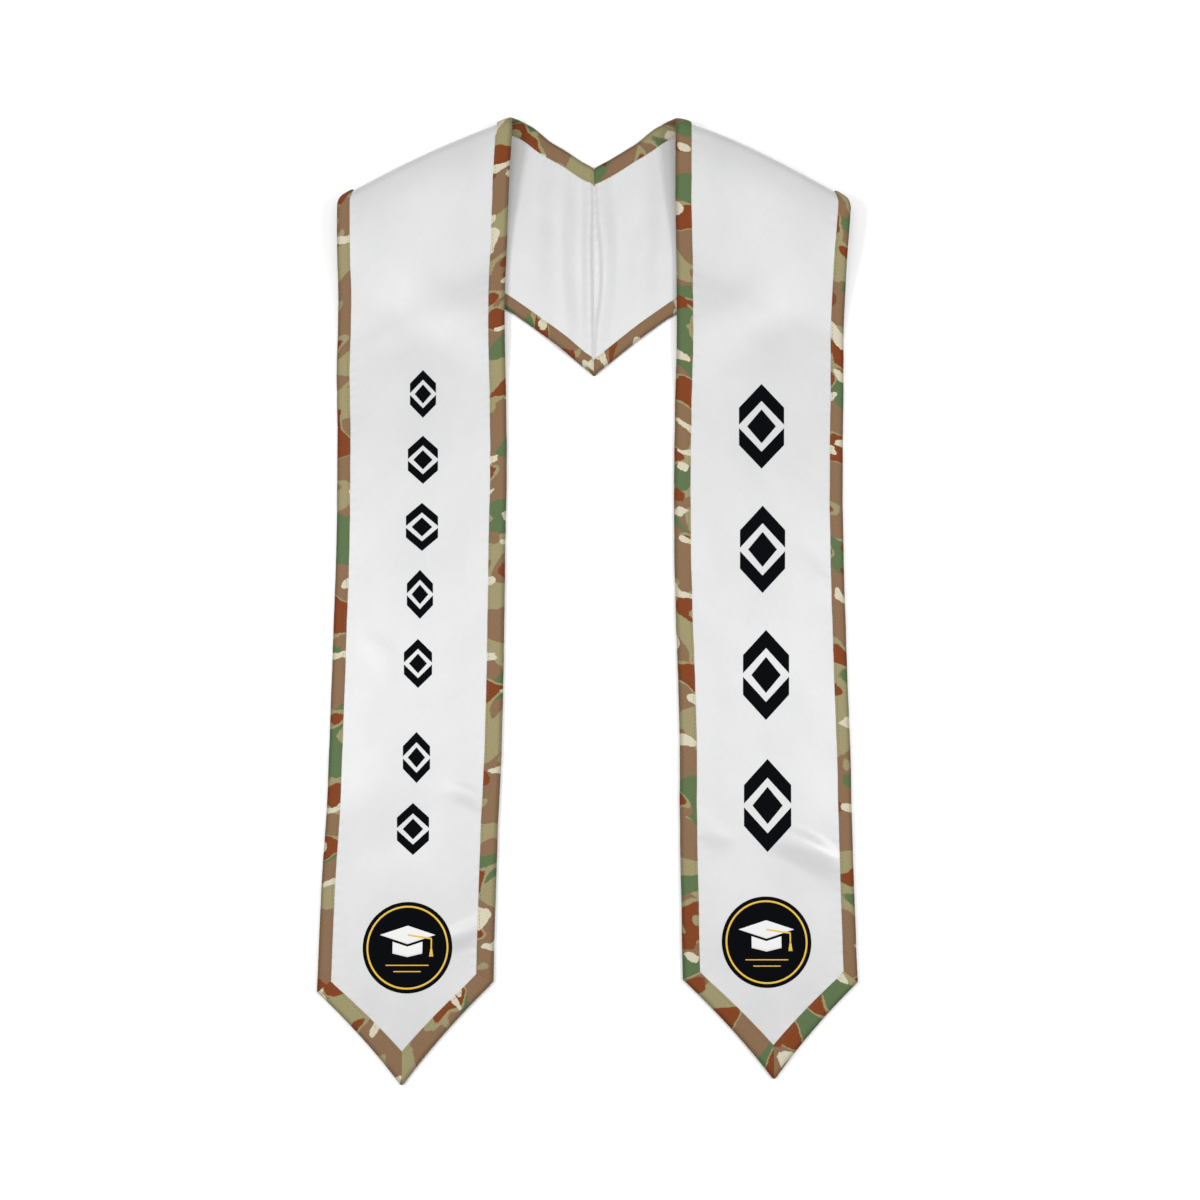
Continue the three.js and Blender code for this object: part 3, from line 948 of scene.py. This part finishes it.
def makeSideTape(side, edge, shift):
    plan = side["tip"][edge]
    edgeShare = 0 if edge == "neck" else 1
    tapeWidth = tape[edge + "Width"]
    inside = mitrePoint(plan["point"], plan["sideInward"], plan["tipInward"], tapeWidth, tape["tipWidth"])
    onRow = middlePoint(side, insetShare(side, 3, edge, tapeWidth), 3).to_2d()
    setBack = (onRow - inside).dot(plan["sideRun"]) / tapeWidth
    step = 0.001
    edgeRate = (middlePoint(side, edgeShare, 3) - middlePoint(side, edgeShare, 3 - step)).length / step
    profile = tapeProfile(tapeWidth)
    across = profileRun(profile)
    kept = [station for station in stations if station < 3 - tape["endStop"]] + [3.0]
    rows, marks = [], []
    travelled = 0.0
    before = middlePoint(side, edgeShare, kept[0])
    for station in kept:
        here = middlePoint(side, edgeShare, station)
        travelled += (here - before).length
        before = here
        stretch = rowStretch(side, station, edge)
        row, mark = [], []
        for (inset, height), place in zip(profile, across):
            at = station
            if station == 3.0:
                at = 3 - (setBack * inset + tape["mitreGap"] / 2) / edgeRate
            share = inset * stretch if edge == "neck" else 1 - inset * stretch
            run = travelled + runLength(side, at) - runLength(side, station)
            out = rippled(side, inset, height, tapeWidth, run)
            row.append(placeOn(side, share, at, out * (1 + tape["rollPuff"] * rollTurn(at))))
            mark.append((place + shift, run))
        rows.append(row)
        marks.append(mark)
    # Mask of painted shade along the bend and over the shoulder roll.
    bendShades = bendShadePlaces(profile, [rollTurn(station) for station in kept])
    piece = gridPiece(side["name"] + "_" + edge + "_tape", rows, marks, tapeLook, bendShades)
    thicken(piece, tape["wall"])
    roundRims(piece, tape["rimRound"])
    return piece


# Where the inner lines of a side tape and of a tip tape cross.
def tipCorner(corner, edge, inset):
    sideWidth = tape[edge + "Width"]
    return mitrePoint(corner["point"], corner["sideInward"], corner["tipInward"], sideWidth, inset)


# Where the two lines at an inset from the tip's edges meet. They spread apart with the inset.
def tipMeeting(side, edge, inset):
    plan = side["tip"]
    other = plan["outer"] if edge == "neck" else plan["neck"]
    last = inset * (1 + tape["tipSpread"] * inset / tape["tipWidth"])
    return mitrePoint(plan["tip"], plan[edge]["tipInward"], other["tipInward"], last, last)


def makeTipTape(side, edge, shift):
    corner = side["tip"][edge]
    tipWidth = tape["tipWidth"]
    gap = corner["tipRun"] * (tape["mitreGap"] / 2)
    inside = tipCorner(corner, edge, tipWidth)
    profile = tapeProfile(tipWidth)
    across = profileRun(profile)
    rippleStart = 1.0 if edge == "neck" else 2.0
    rows, marks = [], []
    for step in range(tape["tipSteps"] + 1):
        row, mark = [], []
        for (inset, height), place in zip(profile, across):
            start = corner["point"].lerp(inside, inset / tipWidth) + gap
            end = tipMeeting(side, edge, inset) - gap
            flat = start.lerp(end, step / tape["tipSteps"])
            run = (flat - corner["point"]).dot(corner["tipRun"])
            row.append(placeOnTip(side, flat, rippled(side, inset, height, tipWidth, run + rippleStart)))
            mark.append((place + shift, run))
        rows.append(row)
        marks.append(mark)
    where = "_inner_tip_tape" if edge == "neck" else "_outer_tip_tape"
    piece = gridPiece(side["name"] + where, rows, marks, tapeLook, bendShadePlaces(profile, [0.0] * len(rows)))
    thicken(piece, tape["wall"])
    roundRims(piece, tape["rimRound"])
    return piece


printHeight = 0.003  # where the prints' pixels meet the cloth, above the table
printLift = 0.00003


# The cloth's height under a point of the frame, found by stepping towards its place across.
def frontSurface(side, flat):
    local = toLocal(side, flat)
    share = 0.5
    length = cloth["frontLength"] * side["frontShare"]
    middle = foldPoint(0.5, rollTravel)
    for _ in range(6):
        startY = foldPoint(share, rollTravel).y
        endY = middle.y - length - side["cornerSkew"] * width * (share - 0.5)
        along = (startY - local.y) / (startY - endY)
        atShare = frontPlan(side, share, along)
        rowWidth = readCourse(side["course"], 2, along) * width
        share += (local.x - atShare.x) / rowWidth
    if along > 1:
        return tipPoint(side, local, 0.0).z
    return middlePoint(side, share, 2 + along).z


# A four-cornered patch laid on the cloth.
def addPatch(bm, side, corners, step, lift):
    turn = 0.0
    for before, after in zip(corners, corners[1:] + corners[:1]):
        turn += before.x * after.y - before.y * after.x
    if turn < 0:
        corners = [corners[0], corners[3], corners[2], corners[1]]
    long = max((corners[1] - corners[0]).length, (corners[2] - corners[3]).length)
    tall = max((corners[3] - corners[0]).length, (corners[2] - corners[1]).length)
    columns, rows = max(1, round(long / step)), max(1, round(tall / step))
    made = bmesh.ops.create_grid(bm, x_segments=columns, y_segments=rows, size=1)["verts"]
    for index, vertex in enumerate(made):
        across, up = index % (columns + 1) / columns, index // (columns + 1) / rows
        flat = corners[0].lerp(corners[1], across).lerp(corners[3].lerp(corners[2], across), up)
        vertex.co = (flat.x, flat.y, frontSurface(side, flat) + cloth["half"] + lift)


def finishPrint(name, bm, material, thickness):
    bmesh.ops.remove_doubles(bm, verts=bm.verts, dist=0.00002)
    piece = finishMesh(name, bm, material)
    thicken(piece, thickness, 1.0)
    roundRims(piece, thickness * 0.35, 1)
    return piece


ornament = {"step": 0.0016, "thickness": 0.00016}
# A solid lozenge between two chevrons, in shares of its box.
blockShapes = [
    [(0.0, 0.52), (0.5, 0.80), (0.5, 1.0), (0.0, 0.72)],
    [(0.5, 0.80), (1.0, 0.52), (1.0, 0.72), (0.5, 1.0)],
    [(0.5, 0.30), (0.82, 0.5), (0.5, 0.70), (0.18, 0.5)],
    [(0.0, 0.28), (0.5, 0.0), (0.5, 0.20), (0.0, 0.48)],
    [(0.5, 0.0), (1.0, 0.28), (1.0, 0.48), (0.5, 0.20)],
]


def makeOrnaments(side, boxes):
    bm = bmesh.new()
    for left, right, top, bottom in boxes:
        for shape in blockShapes:
            corners = []
            for across, up in shape:
                pixel = (mix(left, right, across), mix(bottom, top, up))
                corners.append(tablePoint(pixel, printHeight))
            addPatch(bm, side, corners, ornament["step"], printLift)
    return finishPrint(side["name"] + "_ornaments", bm, blackLook, ornament["thickness"])


# A round medallion with a gold ring, a white cap with a gold tassel, and two gold rules.
medallion = {
    "radius": 0.0345,
    "ringOuter": 0.0029,
    "ringInner": 0.0043,
    "thickness": 0.00035,
    "trimThickness": 0.00014,
    "trimLift": 0.00036,
    "cordLift": 0.00052,
    "step": 0.002,
    "ringStep": 0.0025,
    "turns": 72,
}
# Corners from the medallion's middle: the cap's board and the two faces under it.
capShapes = [
    [(0.0, 0.0025), (0.0215, 0.0095), (0.0, 0.0165), (-0.0215, 0.0095)],
    [(-0.0115, -0.0045), (0.0, -0.0072), (0.0, 0.0007), (-0.0115, 0.0044)],
    [(0.0, -0.0072), (0.0115, -0.0045), (0.0115, 0.0044), (0.0, 0.0007)],
]
# The cord over the board, then the hanging cord, the tassel and the two rules.
cordShape = [(0.0, 0.0089), (0.0184, 0.0061), (0.0187, 0.0073), (0.0002, 0.0101)]
goldShapes = [
    [(0.0178, -0.0010), (0.0189, -0.0010), (0.0189, 0.0068), (0.0178, 0.0068)],
    [(0.0167, -0.0068), (0.0200, -0.0068), (0.0190, -0.0006), (0.0177, -0.0006)],
    [(-0.0165, -0.0138), (0.0165, -0.0138), (0.0165, -0.0130), (-0.0165, -0.0130)],
    [(-0.0105, -0.0185), (0.0105, -0.0185), (0.0105, -0.0177), (-0.0105, -0.0177)],
]


def addRing(bm, side, centre, inner, outer, lift):
    turns = medallion["turns"]
    rings = max(1, round((outer - inner) / medallion["ringStep"]))
    made = bmesh.ops.create_grid(bm, x_segments=turns, y_segments=rings, size=1)["verts"]
    for index, vertex in enumerate(made):
        turn = -2 * math.pi * (index % (turns + 1)) / turns
        reach = mix(inner, outer, index // (turns + 1) / rings)
        flat = centre + Vector((math.cos(turn), math.sin(turn))) * reach
        vertex.co = (flat.x, flat.y, frontSurface(side, flat) + cloth["half"] + lift)


def addShape(bm, side, centre, shape, lift):
    addPatch(bm, side, [centre + Vector(corner) for corner in shape], medallion["step"], lift)


def makeMedallion(side, box):
    left, right, top, bottom = box
    centre = tablePoint(((left + right) / 2, (top + bottom) / 2), printHeight)
    radius, lift = medallion["radius"], medallion["trimLift"]
    disc, gold, white = bmesh.new(), bmesh.new(), bmesh.new()
    addRing(disc, side, centre, 0.0, radius, printLift)
    addRing(gold, side, centre, radius - medallion["ringInner"], radius - medallion["ringOuter"], lift)
    for shape in capShapes:
        addShape(white, side, centre, shape, lift)
    addShape(gold, side, centre, cordShape, medallion["cordLift"])
    for shape in goldShapes:
        addShape(gold, side, centre, shape, lift)
    name = side["name"] + "_medallion"
    face = finishPrint(name, disc, blackLook, medallion["thickness"])
    trim = finishPrint(name + "_gold", gold, goldLook, medallion["trimThickness"])
    cap = finishPrint(name + "_cap", white, whiteLook, medallion["trimThickness"])
    return [face, trim, cap]


# Stitches along the inner edge of every tape, on both faces.
stitch = {
    "pitch": 0.0031,
    "length": 0.0023,
    "width": 0.00038,
    "inset": 0.0014,
    "lift": 0.00006,
    "endStop": 0.022,
    "tipSteps": 240,
}


def addStitches(bm, points, ups):
    since = 0.0
    for (before, after), up in zip(zip(points, points[1:]), ups):
        run = after - before
        since += run.length
        if since < stitch["pitch"] or run.length < 1e-6:
            continue
        since -= stitch["pitch"]
        forward = run.normalized()
        sideways = up.cross(forward).normalized()
        upright = forward.cross(sideways)
        turned = Matrix((forward, sideways, upright)).transposed().to_4x4()
        sized = Matrix.Diagonal((stitch["length"] / 2, stitch["width"] / 2, stitch["width"] * 0.4, 1))
        bmesh.ops.create_icosphere(
            bm, subdivisions=1, radius=1, matrix=Matrix.Translation((before + after) / 2) @ turned @ sized,
        )


def makeStitches(side):
    bm = bmesh.new()
    height = halfStack + stitch["lift"]
    samples = [station for station in stations if station < 3 - stitch["endStop"]]
    for edge in ("neck", "outer"):
        inset = tape[edge + "Width"] - stitch["inset"]
        for face in (1, -1):
            points, ups = [], []
            for before, after in zip(samples, samples[1:]):
                for part in range(4):
                    station = mix(before, after, part / 4)
                    share = insetShare(side, station, edge, inset)
                    normal = clothNormal(side, share, station) * face
                    puffed = height * (1 + tape["rollPuff"] * rollTurn(station))
                    place = middlePoint(side, share, station) + normal * puffed
                    points.append(toFrame(side, place))
                    ups.append(Vector((normal.x * side["direction"], normal.y, normal.z)))
            addStitches(bm, points, ups)
    inset = tape["tipWidth"] - stitch["inset"]
    steps = stitch["tipSteps"]
    for edge in ("neck", "outer"):
        start = tipCorner(side["tip"][edge], edge, inset)
        end = tipMeeting(side, edge, inset)
        flats = [start.lerp(end, step / steps) for step in range(4, steps - 3)]
        for face in (1, -1):
            points = [placeOnTip(side, flat, height * face) for flat in flats]
            addStitches(bm, points, [Vector((0, 0, face))] * len(points))
    return finishMesh(side["name"] + "_tape_stitches", bm, threadLook)


# Left, right, top and bottom of each print, as pixels of the photograph.
smallBoxes = [
    (410, 436, 370, 418),
    (408, 438, 436, 484),
    (406, 438, 503, 551),
    (407, 433, 570, 619),
    (404, 432, 639, 688),
    (403, 430, 732, 783),
    (397, 429, 803, 855),
]
largeBoxes = [
    (739, 784, 384, 469),
    (740, 785, 506, 593),
    (743, 789, 630, 720),
    (744, 791, 759, 852),
]
leftMedallionBox = (363, 452, 897, 998)
rightMedallionBox = (722, 811, 893, 991)

for side in sides:
    name = side["name"]
    strip = makeStrip(side)
    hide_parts(name + "_strip")
    # Each tape shows its own stretch of the print.
    neckShift, outerShift = 0.3 * side["seed"], 0.7 * side["seed"]
    neckTape = makeSideTape(side, "neck", neckShift)
    outerTape = makeSideTape(side, "outer", outerShift)
    innerTip = makeTipTape(side, "neck", neckShift + 1.3)
    outerTip = makeTipTape(side, "outer", outerShift + 2.1)
    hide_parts(name + "_neck_binding")
    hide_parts(name + "_outer_binding")
    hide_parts(name + "_inner_tip_binding")
    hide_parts(name + "_outer_tip_binding")
    tapes = [neckTape, outerTape, innerTip, outerTip]
    print(name, "cloth made")
    ornaments = makeOrnaments(side, smallBoxes if name == "left" else largeBoxes)
    medallionParts = makeMedallion(side, leftMedallionBox if name == "left" else rightMedallionBox)
    stitches = makeStitches(side)
    prints = [ornaments, *medallionParts]
    for piece in [strip, *tapes, stitches, *prints]:
        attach(piece, "root")
    print(name, "trim made")


# The table, the light and the camera
floorMesh = bmesh.new()
bmesh.ops.create_grid(floorMesh, x_segments=1, y_segments=1, size=6)
floorLook, _, floorShader = newMaterial("pale_table")
floorShader.inputs["Base Color"].default_value = (0.99, 0.99, 0.99, 1)
floorShader.inputs["Roughness"].default_value = 0.9
floorShader.inputs["Specular IOR Level"].default_value = 0.1
floor = finishMesh("table_top", floorMesh, floorLook)
floor.data.transform(Matrix.Translation((0, 0, -0.0001)))

world = bpy.data.worlds.new("soft_room")
bpy.context.scene.world = world
world.use_nodes = True
background = world.node_tree.nodes["Background"]
background.inputs["Color"].default_value = (0.985, 0.992, 1.0, 1)
background.inputs["Strength"].default_value = 0.27

lamps = {
    "left_softbox": {"place": (-0.88, -0.02, 1.15), "size": 0.36, "power": 8.7},
    "right_softbox": {"place": (0.88, -0.02, 1.15), "size": 0.36, "power": 7.4},
    "top_softbox": {"place": (0, 0.16, 1.9), "size": 1.5, "power": 15.5},
}
for name, lamp in lamps.items():
    light = bpy.data.lights.new(name, "AREA")
    light.shape = "SQUARE"
    light.size = lamp["size"]
    light.energy = lamp["power"]
    holder = bpy.data.objects.new(name, light)
    bpy.context.scene.collection.objects.link(holder)
    holder.location = lamp["place"]
    towards = Vector((0, 0, 0)) - Vector(lamp["place"])
    holder.rotation_euler = towards.to_track_quat("-Z", "Y").to_euler()

lens = bpy.data.cameras.new("photo_camera")
lens.sensor_width = 36
lens.lens = lens.sensor_width * photoView["focal"] / photoView["size"]
lens.clip_start = 0.01
lens.clip_end = 50
camera = bpy.data.objects.new("photo_camera", lens)
bpy.context.scene.collection.objects.link(camera)
camera.location = viewPlace
camera.rotation_euler = (-viewBack).to_track_quat("-Z", "Y").to_euler()
bpy.context.scene.camera = camera
bpy.context.scene.view_settings.view_transform = "Standard"
